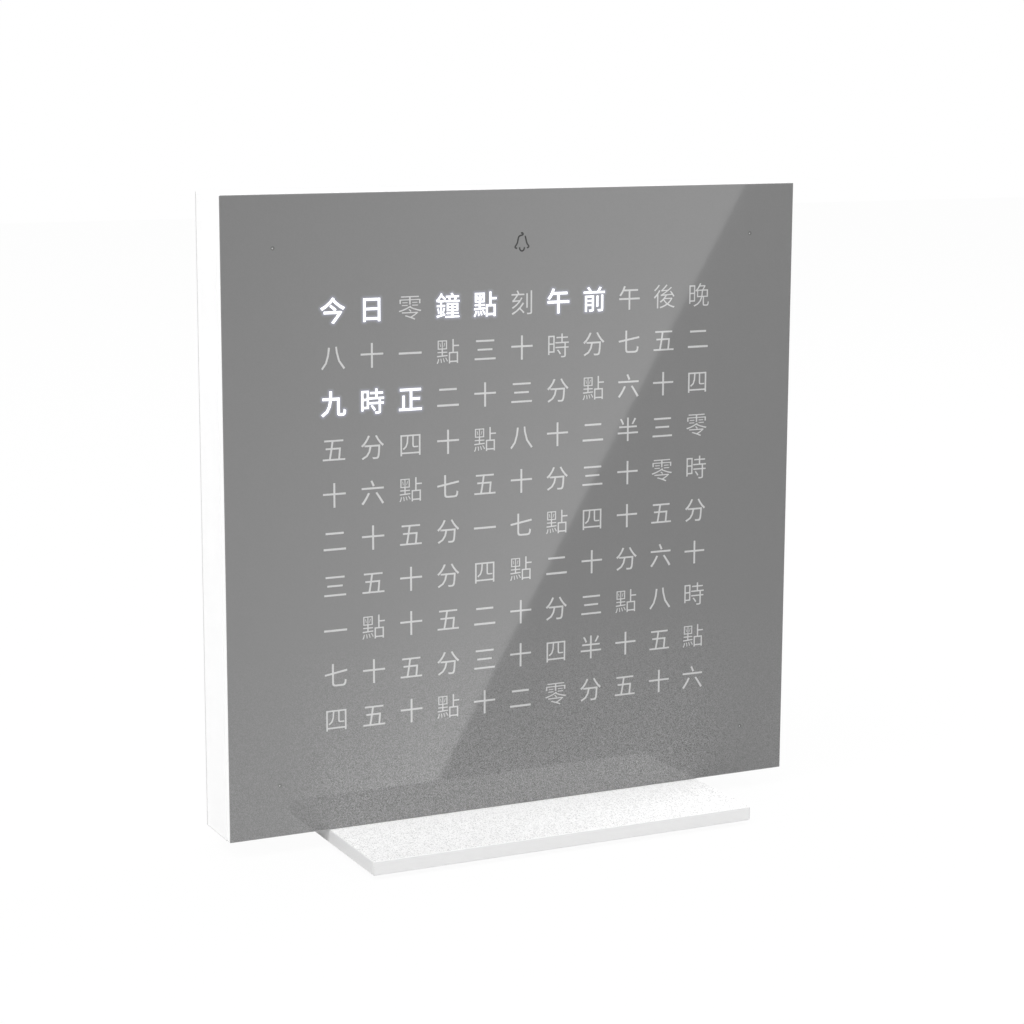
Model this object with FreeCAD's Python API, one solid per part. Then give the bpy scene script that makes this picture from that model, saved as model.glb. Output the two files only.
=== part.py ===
# Word clock for a desk or bedside: a thin square body with a lit character grid,
# standing upright on a flat foot plate.
#
# Millimetres. X runs to the right as the face is read, Y runs to the back, Z up.
# The origin lies on the resting plane, under the middle of the foot plate.
# Places on the face are given as (u, v): right of and above the middle of the face.
import FreeCAD, Part
import math
import os

V = FreeCAD.Vector

# ---- body ------------------------------------------------------------------------------
body_width = 135.0
body_height = 135.0
corner_round = 0.2          # the four corners, seen from the front
edge_break = 0.15           # outer edges of the cover's face and of the housing's back
wall = 2.5                  # side walls of the housing
lip_thickness = 1.2         # front lip of the housing, in depth
lip_width = 6.5             # front lip, in from the outside of the body
fit_gap = 0.3               # play around the pieces that lie inside the housing
hole_gap = 0.05             # play of a pin, screw or magnet in its hole

# ---- layers, from the front to the back ------------------------------------------------
cover_thickness = 2.0
cover_inset = 0.05          # edge of the front cover inside the edge of the housing
diffuser_gap = 0.1          # air between the cover and the sheet behind it
diffuser_thickness = 0.5
grid_depth = 5.0
board_thickness = 1.0
rear_room = 4.2             # space for the parts on the back of the board
rear_cover_thickness = 1.8
rear_cover_gap = 0.15       # joint line around the rear cover

# ---- character grid --------------------------------------------------------------------
columns = 11
rows = 10
column_pitch = 8.68
row_pitch = 9.65
cell_web = 0.8              # wall between two cells at the front
cell_back = 4.8             # square mouth of a cell at the board
dot_inset = 11.05           # minute dots, in from the edges of the body
dot_cell_front = 2.0        # square chambers of the minute dots
dot_cell_back = 3.2
bell_rise = 56.2            # alarm symbol, above the middle of the face
bell_cell_front = 6.4

# ---- front cover's magnets -------------------------------------------------------------
magnet_width = 5.0
magnet_height = 10.0
magnet_thickness = 2.0
magnet_inset = 9.2          # middle, in from the side of the light grid
magnet_rise = 30.0          # above and below the middle of the face
keeper_width = 7.0
keeper_height = 14.0
keeper_thickness = 0.5
keeper_gap = 0.4            # play of a steel keeper in its hole in the sheet

# ---- board and its parts ---------------------------------------------------------------
led_width = 3.2
led_height = 2.8
led_thickness = 0.9
dot_led_width = 1.6
dot_led_height = 0.8
dot_led_thickness = 0.6

board_screw_rise = 45.0     # above the middle at the left, and below it at the right
board_screw_radius = 0.8
board_screw_length = 4.0
board_screw_head_radius = 1.6
board_screw_head = 0.9

driver_size = 5.0
driver_thickness = 0.9
driver_count = 4
driver_pitch = 26.0
driver_rise = 18.0
controller_size = 9.0
controller_thickness = 1.0
controller_drop = 12.0      # below the middle of the face
crystal_length = 11.0
crystal_width = 4.4
crystal_thickness = 3.4
crystal_u = 15.0

cell_radius = 6.25
cell_thickness = 2.0
clip_sheet = 0.3
clip_height = 8.0
clip_gap = 0.05
coin_inset = 26.7           # middle, in from the side of the board

sounder_radius = 7.0
sounder_thickness = 3.4
sounder_inset = 26.7        # middle, in from the side of the board
sounder_drop = 42.0
sounder_port_radius = 1.4
sounder_port_depth = 1.0
sound_slots = 5
sound_slot_width = 1.2
sound_slot_length = 10.0
sound_slot_pitch = 2.6

# ---- power socket ----------------------------------------------------------------------
socket_inset = 28.7         # axis, in from the side of the board
socket_height = 12.0        # axis above the bottom of the body
socket_block = 9.0
socket_depth = 11.0
socket_nose_radius = 3.9
socket_nose = 2.3
socket_bore_radius = 2.8
socket_floor = 1.2
socket_ear = 1.8
socket_ear_thickness = 0.9
socket_pin_radius = 1.0
socket_pin_recess = 1.5

# ---- buttons ---------------------------------------------------------------------------
button_rise = 46.5
button_pitch = 12.0
button_radius = 2.75
button_gap = 0.25           # play of a button in its hole in the rear cover
button_proud = 0.6          # out of the rear cover at rest
button_flange_size = 7.4    # square, so that the button can't turn
button_flange = 0.8
button_free = 0.3           # air between the flange and the rear cover
button_travel = 0.5
button_edge = 0.3
switch_size = 6.0
switch_thickness = 2.2
plunger_size = 2.4
plunger_gap = 0.2
plunger_hold = 0.8          # length of the plunger inside its switch
plunger_floor = 0.3         # air left under the pressed plunger

# ---- touch strip under the top wall ----------------------------------------------------
touch_length = 80.0
touch_width = 3.2
touch_sheet = 0.2
touch_tab_width = 4.0
touch_tab_length = 3.5
touch_tab_u = 22.0

# ---- rear cover and its screws ---------------------------------------------------------
boss_inset = 3.5            # screw bosses, in from the inside of the walls
boss_size = 4.4
boss_rib = 1.2
cover_screw_radius = 1.0
cover_screw_length = 7.0
cover_screw_head_radius = 1.9
cover_screw_head = 0.9
screw_recess = 0.1          # flat of a countersunk head below the surface
pilot_extra = 0.6           # hole below the tip of a screw
post_size = 3.6
post_inset = 4.2            # clamping posts, in from the edge of the board
rib_height = 0.8
rib_width = 1.0
rib_margin = 12.0

# ---- foot ------------------------------------------------------------------------------
foot_width = 90.0
foot_depth = 60.0
foot_thickness = 3.0
foot_reach = 24.0           # foot plate in front of the face
foot_corner = 0.3
foot_edge = 0.2
pad_size = 8.0
pad_thickness = 1.0
pad_inset = 6.5
foot_screw_u = 25.0
foot_screw_radius = 1.5
foot_screw_length = 7.4
foot_screw_head_radius = 2.8
foot_screw_head = 1.5
insert_across = 4.6         # hexagonal, across flats
insert_length = 5.0
insert_floor = 1.5
foot_boss_side = 1.7        # material around an insert

# ---- planes in depth -------------------------------------------------------------------
face_y = foot_reach - foot_depth / 2
lip_front = face_y + cover_thickness
lip_back = lip_front + lip_thickness
grid_front = lip_front + diffuser_gap + diffuser_thickness
grid_back = grid_front + grid_depth
board_back = grid_back + board_thickness
rear_cover_front = board_back + rear_room
rear_y = rear_cover_front + rear_cover_thickness

# ---- heights and half sizes ------------------------------------------------------------
body_bottom = pad_thickness + foot_thickness
face_z = body_bottom + body_height / 2
half_w = body_width / 2
half_h = body_height / 2
room_w = half_w - wall
room_h = half_h - wall
board_w = room_w - fit_gap
board_h = room_h - fit_gap
window_w = half_w - lip_width
window_h = half_h - lip_width
boss_u = room_w - boss_inset
boss_v = room_h - boss_inset
corner_line = boss_u + boss_v - boss_size - math.sqrt(2) * fit_gap
dot_u = half_w - dot_inset
dot_v = half_h - dot_inset
magnet_u = board_w - magnet_inset
coin_u = coin_inset - board_w
sounder_u = sounder_inset - board_w
socket_u = board_w - socket_inset
socket_v = socket_height - half_h
foot_screw_y = (lip_back + rear_cover_front) / 2
foot_boss_top = body_bottom + insert_length + insert_floor
foot_boss_half = insert_across / 2 + foot_boss_side

button_places = {"hour": -button_pitch, "minute": 0.0, "mode": button_pitch}
button_flange_back = rear_cover_front - button_free
button_flange_front = button_flange_back - button_flange
switch_back = board_back + switch_thickness
plunger_front = switch_back - plunger_hold


# ---- shapes used by several pieces -----------------------------------------------------
same_plane = 1e-4           # depths or heights closer than this count as one


def block(u0, u1, v0, v1, y0, y1):
    """Box between two corners, in face coordinates and depth."""
    return Part.makeBox(u1 - u0, y1 - y0, v1 - v0, V(u0, y0, face_z + v0))


def centred_block(u, v, width, height, y0, y1):
    return block(u - width / 2, u + width / 2, v - height / 2, v + height / 2, y0, y1)


def round_bar(u, v, radius, y0, y1):
    """Cylinder along the depth."""
    return Part.makeCylinder(radius, y1 - y0, V(u, y0, face_z + v), V(0, 1, 0))


def taper(u, v, front_w, front_h, back_w, back_h, y0, y1):
    """Block that runs from one rectangle at y0 to another at y1, about the same middle."""
    z = face_z + v
    return Part.makeWedge(u - front_w / 2, y0, z - front_h / 2, z - back_h / 2, u - back_w / 2,
                          u + front_w / 2, y1, z + front_h / 2, z + back_h / 2, u + back_w / 2)


def prism(points, y0, y1):
    """Plate with the outline of the given (u, v) points."""
    corners = [V(u, y0, face_z + v) for u, v in points]
    outline = Part.makePolygon(corners + corners[:1])
    return Part.Face(outline).extrude(V(0, y1 - y0, 0))


def clipped_plate(width, height, line, y0, y1):
    """Plate of half width and half height whose corners are cut along u + v = line."""
    cut = max(width + height - line, 0.01)
    points = []
    for su, sv in ((1, 1), (-1, 1), (-1, -1), (1, -1)):
        pair = [(su * width, sv * (height - cut)), (su * (width - cut), sv * height)]
        points += pair if su * sv > 0 else pair[::-1]
    return prism(points, y0, y1)


def rounded_plate(width, height, radius, y0, y1):
    """Plate of half width and half height with its four corners rounded."""
    plate = block(-width, width, -height, height, y0, y1)
    corners = [e for e in plate.Edges if abs(e.Curve.Direction.y) > 0.5]
    return plate.makeFillet(radius, corners)


def edges_at(shape, y):
    """Edges that lie in the plane at depth y."""
    box_of = [(e, e.BoundBox) for e in shape.Edges]
    return [e for e, b in box_of if abs(b.YMin - y) < same_plane and abs(b.YMax - y) < same_plane]


def countersunk_screw(flat, direction, radius, length, head_radius, head):
    """Screw that runs in the direction from the flat of its conical head."""
    cone = Part.makeCone(head_radius, radius, head, flat, direction)
    return cone.fuse(Part.makeCylinder(radius, length, flat, direction)).removeSplitter()


def countersunk_hole(mouth, direction, radius, length, head_radius, head):
    """Hole, with play, for such a screw whose head lies just below the mouth."""
    wide = head_radius + 2 * hole_gap
    narrow = radius + 2 * hole_gap
    cone = Part.makeCone(wide, narrow, head + screw_recess, mouth, direction)
    return cone.fuse(Part.makeCylinder(narrow, length, mouth, direction))


def four_corners(u, v):
    return [(su * u, sv * v) for sv in (-1, 1) for su in (-1, 1)]


def grid_places():
    """Middle of each cell of the character grid, row by row from the top."""
    places = []
    for row in range(rows):
        v = ((rows - 1) / 2 - row) * row_pitch
        for column in range(columns):
            u = (column - (columns - 1) / 2) * column_pitch
            places.append((u, v))
    return places


def copies(shape, places):
    """The shape, drawn at the middle of the face, at each (u, v) place."""
    result = []
    for u, v in places:
        one = shape.copy()
        one.translate(V(u, 0, v))
        result.append(one)
    return result


# ---- front cover -----------------------------------------------------------------------
def front_cover():
    """Acrylic plate, held by magnets, that carries the face."""
    width = half_w - cover_inset
    height = half_h - cover_inset
    plate = rounded_plate(width, height, corner_round, face_y, lip_front)
    return plate.makeChamfer(min(edge_break, 0.9 * corner_round), edges_at(plate, face_y))


def magnet_places():
    return four_corners(magnet_u, magnet_rise)


def cover_keepers():
    """Steel plates bonded to the back of the cover, one for each magnet."""
    back = lip_front + keeper_thickness
    keeper = centred_block(0, 0, keeper_width, keeper_height, lip_front, back)
    return Part.Compound(copies(keeper, magnet_places()))


# ---- light guide -----------------------------------------------------------------------
def diffuser_sheet():
    """Thin opal film in the housing's window, with a hole for each steel keeper."""
    width = window_w - fit_gap
    height = window_h - fit_gap
    front = grid_front - diffuser_thickness
    sheet = clipped_plate(width, height, corner_line, front, grid_front)
    hole_w = keeper_width + 2 * keeper_gap
    hole_h = keeper_height + 2 * keeper_gap
    hole = centred_block(0, 0, hole_w, hole_h, front, grid_front)
    return sheet.cut(copies(hole, magnet_places()))


def chamber(front_w, front_h, back):
    """Tapered light chamber: a small square at the board, wider or narrower at the front."""
    return taper(0, 0, front_w, front_h, back, back, grid_front, grid_back)


def foot_boss_notches(shape):
    """Room in a plate's lower edge for the two bosses that take the foot screws."""
    half = foot_boss_half + fit_gap
    top = foot_boss_top + fit_gap - face_z
    for side in (-1, 1):
        u = side * foot_screw_u
        notch = block(u - half, u + half, -half_h, top, lip_back, board_back)
        shape = shape.cut(notch)
    return shape


def light_grid():
    """Moulded egg-crate that keeps the light of each character apart."""
    flange = clipped_plate(board_w, board_h, corner_line, lip_back, grid_back)
    flange = foot_boss_notches(flange)
    raised = clipped_plate(window_w - fit_gap, window_h - fit_gap, corner_line, grid_front, lip_back)
    grid = flange.fuse(raised)
    cell = chamber(column_pitch - cell_web, row_pitch - cell_web, cell_back)
    grid = grid.cut(copies(cell, grid_places()))

    dot = chamber(dot_cell_front, dot_cell_front, dot_cell_back)
    bell = chamber(bell_cell_front, bell_cell_front, cell_back)
    magnet_end = grid_front + magnet_thickness
    pocket_w = magnet_width + 2 * hole_gap
    pocket_h = magnet_height + 2 * hole_gap
    pocket = centred_block(0, 0, pocket_w, pocket_h, grid_front, magnet_end)
    screw_tip = board_back - board_screw_length
    pilot = round_bar(0, 0, board_screw_radius + hole_gap, screw_tip, grid_back)
    cutters = copies(dot, four_corners(dot_u, dot_v))
    cutters += copies(bell, [(0, bell_rise)])
    cutters += copies(pocket, magnet_places())
    cutters += copies(pilot, board_screw_places())
    cutters.append(socket_window(rear_y - socket_depth - fit_gap, grid_back))
    return grid.cut(cutters).removeSplitter()


def magnets():
    """Block magnets pressed into the front of the light grid."""
    back = grid_front + magnet_thickness
    magnet = centred_block(0, 0, magnet_width, magnet_height, grid_front, back)
    return Part.Compound(copies(magnet, magnet_places()))


# ---- circuit board ---------------------------------------------------------------------
def board_screw_places():
    return [(-magnet_u, board_screw_rise), (magnet_u, -board_screw_rise)]


def socket_window(y0, y1):
    side = socket_block + 2 * fit_gap
    return centred_block(socket_u, socket_v, side, side, y0, y1)


def led_board():
    """Circuit board that closes the back of the light grid."""
    board = clipped_plate(board_w, board_h, corner_line, grid_back, board_back)
    board = foot_boss_notches(board)
    hole = round_bar(0, 0, board_screw_radius + 2 * hole_gap, grid_back, board_back)
    cutters = copies(hole, board_screw_places())
    cutters.append(socket_window(grid_back, board_back))
    return board.cut(cutters)


def leds():
    """One lamp for each character and for the alarm symbol, and a small one for each dot."""
    lamp = centred_block(0, 0, led_width, led_height, grid_back - led_thickness, grid_back)
    small = centred_block(0, 0, dot_led_width, dot_led_height, grid_back - dot_led_thickness, grid_back)
    lamps = copies(lamp, grid_places() + [(0, bell_rise)])
    lamps += copies(small, four_corners(dot_u, dot_v))
    return Part.Compound(lamps)


def headed_screw(radius, length, head_radius, head_thickness, seat):
    """Screw along the depth whose head bears on the plane y = seat."""
    shank = round_bar(0, 0, radius, seat - length, seat)
    return shank.fuse(round_bar(0, 0, head_radius, seat, seat + head_thickness))


def board_screws():
    """Pan-head screws through two opposite corners of the board, into the light grid."""
    screw = headed_screw(board_screw_radius, board_screw_length, board_screw_head_radius,
                         board_screw_head, board_back)
    return Part.Compound(copies(screw, board_screw_places()))


def driver_chips():
    """Lamp drivers: leadless square packages in a row."""
    chip = centred_block(0, 0, driver_size, driver_size, board_back, board_back + driver_thickness)
    places = [((i - (driver_count - 1) / 2) * driver_pitch, driver_rise) for i in range(driver_count)]
    return Part.Compound(copies(chip, places))


def controller_chip():
    """Leadless square controller package."""
    back = board_back + controller_thickness
    return centred_block(0, -controller_drop, controller_size, controller_size, board_back, back)


def clock_crystal():
    """Metal can with round ends beside the controller."""
    end = (crystal_length - crystal_width) / 2
    back = board_back + crystal_thickness
    can = centred_block(0, 0, crystal_width, 2 * end, board_back, back)
    for side in (-1, 1):
        can = can.fuse(round_bar(0, side * end, crystal_width / 2, board_back, back))
    return copies(can.removeSplitter(), [(crystal_u, -controller_drop)])[0]


def coin_cell():
    """Cell that keeps the time when the supply is off."""
    front = board_back + clip_sheet + clip_gap
    return round_bar(coin_u, -controller_drop, cell_radius, front, front + cell_thickness)


def cell_clip():
    """Sleeve of spring sheet that holds the coin cell on the board."""
    inner_w = 2 * (cell_radius + clip_gap)
    inner_d = cell_thickness + 2 * clip_gap
    outer_w = inner_w + 2 * clip_sheet
    back = board_back + inner_d + 2 * clip_sheet
    v = -controller_drop
    sleeve = centred_block(coin_u, v, outer_w, clip_height, board_back, back)
    front = board_back + clip_sheet
    room = centred_block(coin_u, v, inner_w, clip_height, front, front + inner_d)
    opening = centred_block(coin_u, v, 0.45 * inner_w, 0.5 * clip_height, front, back)
    return sleeve.cut([room, opening])


def sounder():
    """Round alarm sounder with a port in its back."""
    back = board_back + sounder_thickness
    can = round_bar(sounder_u, -sounder_drop, sounder_radius, board_back, back)
    port = round_bar(sounder_u, -sounder_drop, sounder_port_radius, back - sounder_port_depth, back)
    return can.cut(port)


# ---- buttons ---------------------------------------------------------------------------
def switch_place(name):
    return (button_places[name], button_rise)


def key_switches():
    """Square tact switches on the board, one behind each button."""
    case = centred_block(0, 0, switch_size, switch_size, board_back, switch_back)
    floor = plunger_front - button_travel - plunger_floor
    mouth = plunger_size + 2 * plunger_gap
    case = case.cut(centred_block(0, 0, mouth, mouth, floor, switch_back))
    return Part.Compound(copies(case, [switch_place(name) for name in button_places]))


def plunger(name):
    """Square plunger of one switch, between the switch and its button."""
    u, v = switch_place(name)
    return centred_block(u, v, plunger_size, plunger_size, plunger_front, button_flange_front)


def button(name):
    """Button cap with a flange that keeps it inside the rear cover."""
    u, v = switch_place(name)
    end = rear_y + button_proud
    head = round_bar(u, v, button_radius, button_flange_back, end)
    head = head.makeChamfer(min(button_edge, 0.8 * button_proud), edges_at(head, end))
    size = button_flange_size
    return head.fuse(centred_block(u, v, size, size, button_flange_front, button_flange_back))


# ---- power socket ----------------------------------------------------------------------
def power_socket():
    """Round supply socket that stands through the board and opens in the rear cover."""
    front = rear_y - socket_depth
    nose_front = rear_y - socket_nose
    body = centred_block(socket_u, socket_v, socket_block, socket_block, front, nose_front)
    ear_back = board_back + socket_ear_thickness
    ears = socket_block + 2 * socket_ear
    body = body.fuse(centred_block(socket_u, socket_v, ears, 0.6 * socket_block, board_back, ear_back))
    body = body.fuse(round_bar(socket_u, socket_v, socket_nose_radius, nose_front, rear_y))
    bore = round_bar(socket_u, socket_v, socket_bore_radius, front + socket_floor, rear_y)
    pin_hole = round_bar(socket_u, socket_v, socket_pin_radius + hole_gap, front, rear_y)
    return body.cut([bore, pin_hole]).removeSplitter()


def socket_pin():
    """Centre contact of the power socket."""
    tip = rear_y - socket_pin_recess
    pin = round_bar(socket_u, socket_v, socket_pin_radius, rear_y - socket_depth, tip)
    return pin.makeChamfer(0.4 * socket_pin_radius, edges_at(pin, tip))


# ---- touch strip -----------------------------------------------------------------------
def touch_strip():
    """Metal strip bonded under the top wall, with a tab soldered to the board."""
    front = board_back + touch_sheet
    half = touch_length / 2
    strip = block(-half, half, room_h - touch_sheet, room_h, front, front + touch_width)
    side = touch_tab_width / 2
    tab = block(touch_tab_u - side, touch_tab_u + side, room_h - touch_tab_length, room_h,
                board_back, front)
    return strip.fuse(tab).removeSplitter()


# ---- housing ---------------------------------------------------------------------------
def housing():
    """Moulded frame: side walls, front lip, screw bosses and two foot bosses."""
    shell = rounded_plate(half_w, half_h, corner_round, lip_front, rear_y)
    shell = shell.makeChamfer(min(edge_break, 0.9 * corner_round), edges_at(shell, rear_y))
    room = block(-room_w, room_w, -room_h, room_h, lip_back, rear_y)
    window = clipped_plate(window_w, window_h, corner_line + fit_gap, lip_front, lip_back)
    shell = shell.cut([room, window])

    solid = []
    for u, v in four_corners(boss_u, boss_v):
        su = math.copysign(1, u)
        sv = math.copysign(1, v)
        solid.append(centred_block(u, v, boss_size, boss_size, lip_back, rear_cover_front))
        side = sorted((u, su * room_w))
        level = sorted((v, sv * room_h))
        half = boss_rib / 2
        solid.append(block(side[0], side[1], v - half, v + half, lip_back, rear_cover_front))
        solid.append(block(u - half, u + half, level[0], level[1], lip_back, rear_cover_front))
    for side in (-1, 1):
        u = side * foot_screw_u
        top = foot_boss_top - face_z
        left = u - foot_boss_half
        right = u + foot_boss_half
        solid.append(block(left, right, -room_h, top, lip_back, rear_cover_front))
    shell = shell.fuse(solid)

    screw_tip = rear_y - screw_recess - cover_screw_length
    pilot = round_bar(0, 0, cover_screw_radius + hole_gap, screw_tip - pilot_extra, rear_cover_front)
    cutters = copies(pilot, four_corners(boss_u, boss_v))
    depth = insert_length + insert_floor / 2
    for base in insert_bases():
        cutters.append(hexagon_bar(base, insert_across + 2 * hole_gap, depth))
    return shell.cut(cutters).removeSplitter()


# ---- rear cover ------------------------------------------------------------------------
def post_places():
    sides = [(-(board_w - post_inset), 0), (board_w - post_inset, 0)]
    ends = [(0, -(board_h - post_inset)), (0, board_h - post_inset)]
    return sides + ends


def rear_cover():
    """Flush rear plate with clamping posts, stiffening ribs and its openings."""
    width = room_w - rear_cover_gap
    height = room_h - rear_cover_gap
    plate = block(-width, width, -height, height, rear_cover_front, rear_y)
    post = centred_block(0, 0, post_size, post_size, board_back, rear_cover_front)
    posts = copies(post, post_places())
    rib_front = rear_cover_front - rib_height
    u = width - rib_margin
    ribs = []
    for side in (-1, 1):
        half = rib_width / 2
        level = height - rib_margin
        ribs.append(block(side * u - half, side * u + half, -level, level, rib_front, rear_cover_front))
    plate = plate.fuse(posts + ribs)

    hole = countersunk_hole(V(0, rear_y, face_z), V(0, -1, 0), cover_screw_radius,
                            rear_cover_thickness, cover_screw_head_radius, cover_screw_head)
    cutters = copies(hole, four_corners(boss_u, boss_v))
    key_hole = round_bar(0, 0, button_radius + button_gap, rear_cover_front, rear_y)
    cutters += copies(key_hole, [switch_place(name) for name in button_places])
    cutters += sound_slot_cutters()
    mouth = socket_nose_radius + fit_gap
    cutters.append(round_bar(socket_u, socket_v, mouth, rear_cover_front, rear_y))
    return plate.cut(cutters).removeSplitter()


def sound_slot_cutters():
    """Row of upright slots behind the sounder."""
    cutters = []
    for i in range(sound_slots):
        u = sounder_u + (i - (sound_slots - 1) / 2) * sound_slot_pitch
        cutters.append(centred_block(u, -sounder_drop, sound_slot_width, sound_slot_length,
                                     rear_cover_front, rear_y))
    return cutters


def rear_cover_screws():
    """Small countersunk screws in the corners of the rear cover."""
    flat = V(0, rear_y - screw_recess, face_z)
    screw = countersunk_screw(flat, V(0, -1, 0), cover_screw_radius, cover_screw_length,
                              cover_screw_head_radius, cover_screw_head)
    return Part.Compound(copies(screw, four_corners(boss_u, boss_v)))


# ---- foot ------------------------------------------------------------------------------
def foot_screw_bases():
    """Points on the underside of the foot plate, on the axes of its screws."""
    return [V(side * foot_screw_u, foot_screw_y, pad_thickness) for side in (-1, 1)]


def foot_plate():
    """Flat metal plate that carries the body upright."""
    corner = V(-foot_width / 2, -foot_depth / 2, pad_thickness)
    plate = Part.makeBox(foot_width, foot_depth, foot_thickness, corner)
    upright = [e for e in plate.Edges if abs(e.Curve.Direction.z) > 0.5]
    plate = plate.makeChamfer(foot_corner, upright)
    flat = [e for e in plate.Edges if e.BoundBox.ZLength < same_plane]
    plate = plate.makeChamfer(min(foot_edge, 0.5 * foot_corner), flat)
    for base in foot_screw_bases():
        plate = plate.cut(countersunk_hole(base, V(0, 0, 1), foot_screw_radius, foot_thickness,
                                           foot_screw_head_radius, foot_screw_head))
    return plate


def foot_screws():
    """Countersunk screws, up through the foot plate into the inserts."""
    screws = []
    for base in foot_screw_bases():
        flat = base + V(0, 0, screw_recess)
        screws.append(countersunk_screw(flat, V(0, 0, 1), foot_screw_radius, foot_screw_length,
                                        foot_screw_head_radius, foot_screw_head))
    return Part.Compound(screws)


def insert_bases():
    """Points on the bottom of the housing, on the axes of its two inserts."""
    return [base + V(0, 0, foot_thickness) for base in foot_screw_bases()]


def hexagon_bar(base, across, height):
    """Upright hexagonal bar with its foot at base."""
    reach = across / math.sqrt(3)
    angles = [math.pi * i / 3 for i in range(7)]
    ring = [base + V(reach * math.cos(a), reach * math.sin(a), 0) for a in angles]
    return Part.Face(Part.makePolygon(ring)).extrude(V(0, 0, height))


def foot_inserts():
    """Threaded brass bushes in the bottom of the housing."""
    bushes = []
    for base in insert_bases():
        bush = hexagon_bar(base, insert_across, insert_length)
        bushes.append(bush.cut(Part.makeCylinder(foot_screw_radius + hole_gap, insert_length, base)))
    return Part.Compound(bushes)


def foot_pads():
    """Thin square rubber pads under the corners of the foot plate."""
    pads = []
    for x, y in four_corners(foot_width / 2 - pad_inset, foot_depth / 2 - pad_inset):
        corner = V(x - pad_size / 2, y - pad_size / 2, 0)
        pads.append(Part.makeBox(pad_size, pad_size, pad_thickness, corner))
    return Part.Compound(pads)


# ---- all pieces ------------------------------------------------------------------------
pieces = {
    "front_cover": front_cover(),
    "cover_keepers": cover_keepers(),
    "diffuser_sheet": diffuser_sheet(),
    "light_grid": light_grid(),
    "magnets": magnets(),
    "led_board": led_board(),
    "leds": leds(),
    "board_screws": board_screws(),
    "driver_chips": driver_chips(),
    "controller_chip": controller_chip(),
    "clock_crystal": clock_crystal(),
    "coin_cell": coin_cell(),
    "cell_clip": cell_clip(),
    "sounder": sounder(),
    "key_switches": key_switches(),
    "power_socket": power_socket(),
    "socket_pin": socket_pin(),
    "touch_strip": touch_strip(),
    "housing": housing(),
    "rear_cover": rear_cover(),
    "rear_cover_screws": rear_cover_screws(),
    "foot_plate": foot_plate(),
    "foot_screws": foot_screws(),
    "foot_inserts": foot_inserts(),
    "foot_pads": foot_pads(),
}
for key in button_places:
    pieces[key + "_plunger"] = plunger(key)
    pieces[key + "_button"] = button(key)

os.makedirs("parts", exist_ok=True)
for node, shape in pieces.items():
    shape.exportStep(os.path.join("parts", node + ".step"))
    print(node, len(shape.Solids), "solids", round(shape.Volume, 1), "mm3", "valid", shape.isValid())
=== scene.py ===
import math

import bpy
from mathutils import Matrix, Vector
from mathutils.geometry import delaunay_2d_cdt


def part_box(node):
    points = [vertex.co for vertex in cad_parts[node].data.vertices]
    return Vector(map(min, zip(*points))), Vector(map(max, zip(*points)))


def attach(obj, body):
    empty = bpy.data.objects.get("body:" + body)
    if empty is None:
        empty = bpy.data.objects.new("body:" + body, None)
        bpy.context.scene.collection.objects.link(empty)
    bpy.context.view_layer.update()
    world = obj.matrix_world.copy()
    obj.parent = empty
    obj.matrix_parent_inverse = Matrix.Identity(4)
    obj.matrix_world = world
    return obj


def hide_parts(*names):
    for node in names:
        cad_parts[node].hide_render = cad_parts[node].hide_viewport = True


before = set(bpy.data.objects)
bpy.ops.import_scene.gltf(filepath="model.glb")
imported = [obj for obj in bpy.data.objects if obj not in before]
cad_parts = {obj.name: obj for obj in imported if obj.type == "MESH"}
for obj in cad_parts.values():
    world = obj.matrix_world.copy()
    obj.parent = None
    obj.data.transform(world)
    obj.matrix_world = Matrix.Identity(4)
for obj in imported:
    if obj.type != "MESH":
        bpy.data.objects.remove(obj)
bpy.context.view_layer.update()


# ---- Camera --------------------------------------------------------------------------
# The clock is seen from its left and from a little above, half a metre away, through a long
# lens, so that its upright edges stay nearly parallel.
def put_in_scene(name, data):
    """A new object in the scene that holds the data."""
    holder = bpy.data.objects.new(name, data)
    bpy.context.scene.collection.objects.link(holder)
    return holder


def turn_about(axis, degrees):
    """A turn about one of the frame's axes."""
    return Matrix.Rotation(math.radians(degrees), 4, axis)


camera = put_in_scene("studio_camera", bpy.data.cameras.new("studio_camera"))
camera.data.sensor_width = 36
camera.data.lens = 87.72
camera.location = (-0.23379, -0.48280, 0.16643)
swing = turn_about("Z", -25.9187)
dip = turn_about("X", -10.3472)
lean = turn_about("Y", -0.205)
upright = turn_about("X", 90)
camera.rotation_euler = (swing @ dip @ lean @ upright).to_euler()
bpy.context.scene.camera = camera
bpy.context.scene.view_settings.view_transform = "Standard"


# ---- Studio light --------------------------------------------------------------------
# An even white room lights the clock from all round. A large soft lamp, high at the left and a
# little in front, gives its top and left sides more. A weaker one far out at the right, a
# little behind the face, clears the shadow beside the foot. Nothing throws a hard shadow.
def grey(level):
    """A neutral colour."""
    return (level, level, level)


def fill(tree, node, inputs):
    """Gives a node's inputs numbers, colours or the outputs of other nodes."""
    for name, source in inputs.items():
        socket = node.inputs[name]
        if isinstance(source, bpy.types.NodeSocket):
            tree.links.new(source, socket)
        elif socket.type == "RGBA":
            socket.default_value = (*source, 1)
        else:
            socket.default_value = source


def add_node(tree, kind, inputs=None, **settings):
    """A new node of a tree with its settings and its inputs."""
    node = tree.nodes.new(kind)
    for name, value in settings.items():
        setattr(node, name, value)
    fill(tree, node, inputs or {})
    return node


def maths(tree, operation, *values):
    """The values multiplied, added or worked on in another way."""
    node = add_node(tree, "ShaderNodeMath", dict(enumerate(values)), operation=operation)
    return node.outputs[0]


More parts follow.
